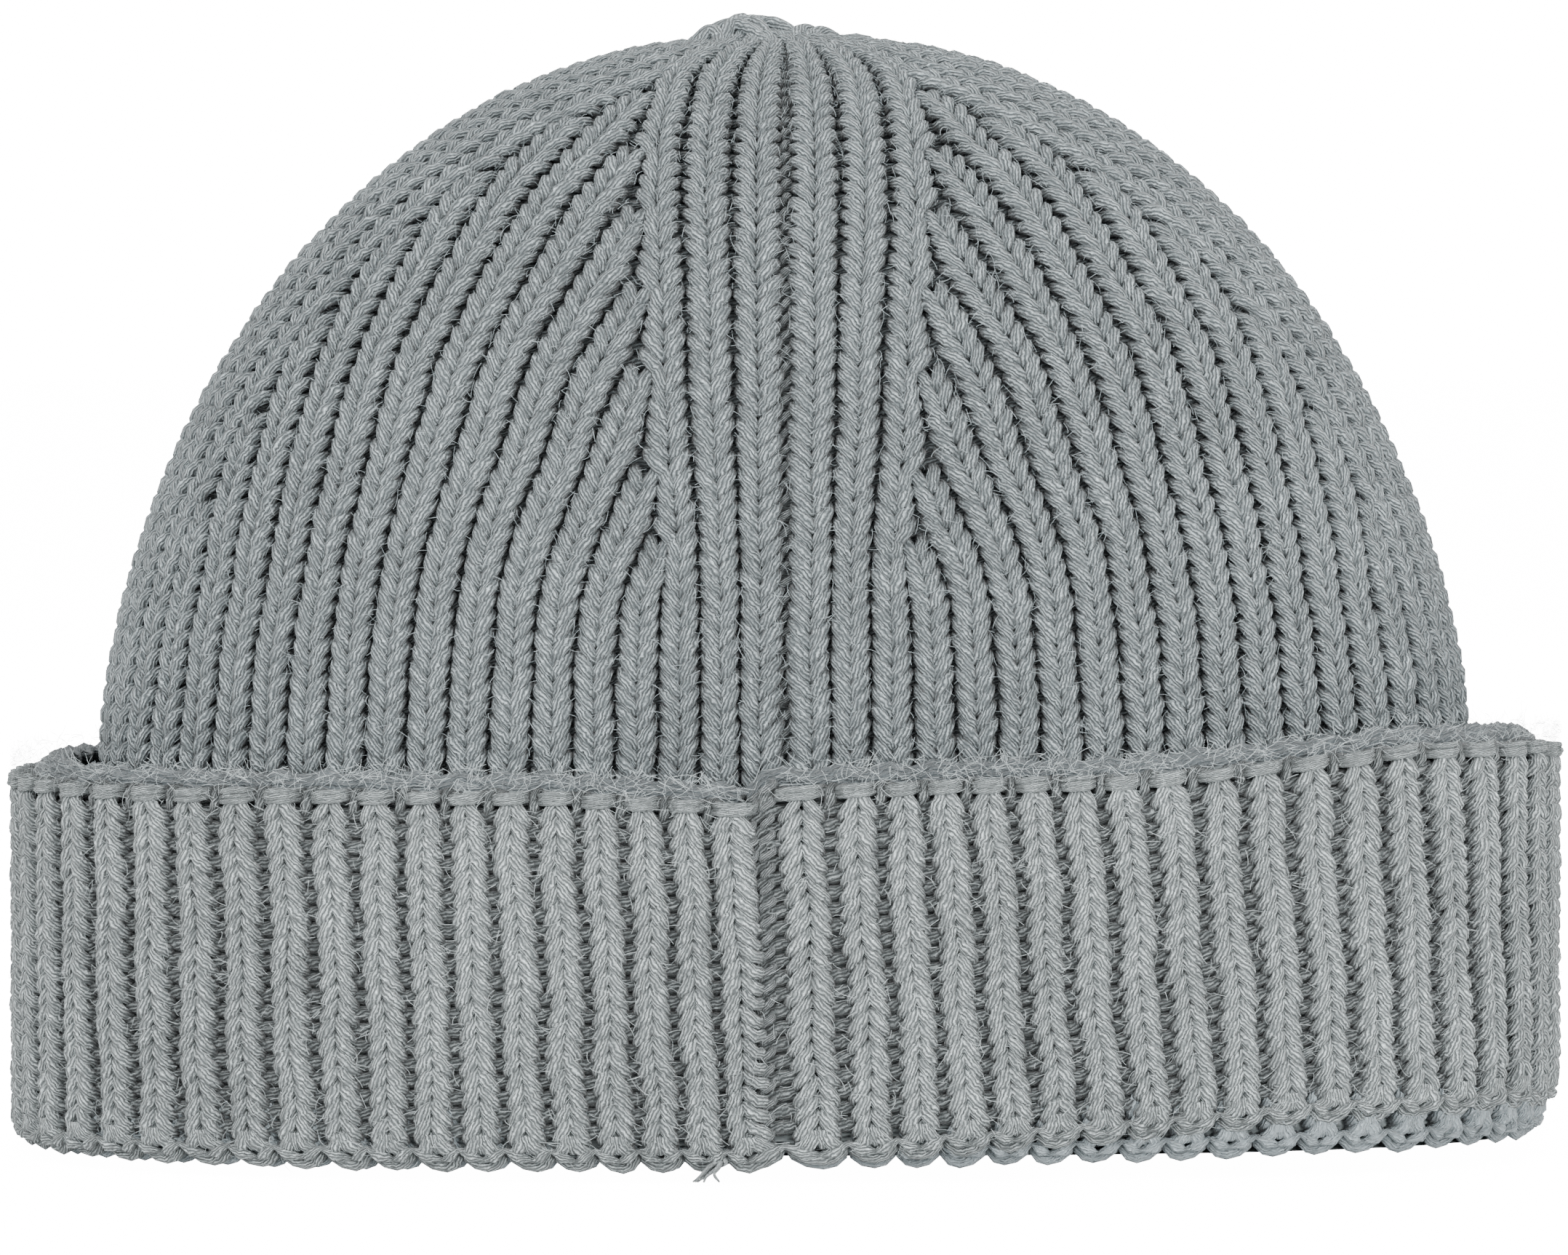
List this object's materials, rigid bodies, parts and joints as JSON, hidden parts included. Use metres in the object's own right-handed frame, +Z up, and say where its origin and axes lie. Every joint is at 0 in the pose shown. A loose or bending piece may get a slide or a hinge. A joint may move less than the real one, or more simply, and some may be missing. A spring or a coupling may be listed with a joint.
{
  "type": "knit beanie",
  "caption": "Chunky 1x1 rib knit beanie with a deep turned-up cuff, a fashioned crown gathered at the top and a seam up the centre back.",
  "frame": {"origin": "centre of the hat's footprint, on the floor it stands on", "axes": "+Z up through the crown, centre-back seam on -Y, front on +Y, wearer's right and left on +X and -X"},
  "size_m": [0.2303, 0.1182, 0.1678],
  "materials": {
    "rib_knit": "soft matte grey yarn, slightly blue-green, with a fine halo",
    "cuff_knit": "the same yarn, opened a little more, so a little lighter",
    "seam_yarn": "the same yarn, in the shade of the seam"
  },
  "bodies": {
    "hat": {"body_wall": "rib_knit", "crown_sides": "rib_knit", "crown_top": "rib_knit", "cuff": "cuff_knit", "back_seam_body": "seam_yarn", "back_seam_cuff": "seam_yarn", "crown_gather": "rib_knit", "crown_draw_thread": "seam_yarn", "seam_yarn_tail": "seam_yarn"},
    "fold": {"fold_ridge": "rib_knit"},
    "cuff_edge": {"cast_on_edge": "cuff_knit"}
  },
  "joints": [
    {"name": "cuff_turn_down", "type": "slide", "parent": "hat", "child": "cuff_edge", "axis": [0, 0, -1], "range_m": [0, 0.1104], "deforming": ["cuff", "back_seam_cuff"]},
    {"name": "fold_travel", "type": "slide", "parent": "hat", "child": "fold", "axis": [0, 0, -1], "range_m": [0, 0.0573]}
  ],
  "couplings": [
    {"joint": "fold_travel", "follows": "cuff_turn_down", "ratio": 0.5189}
  ]
}
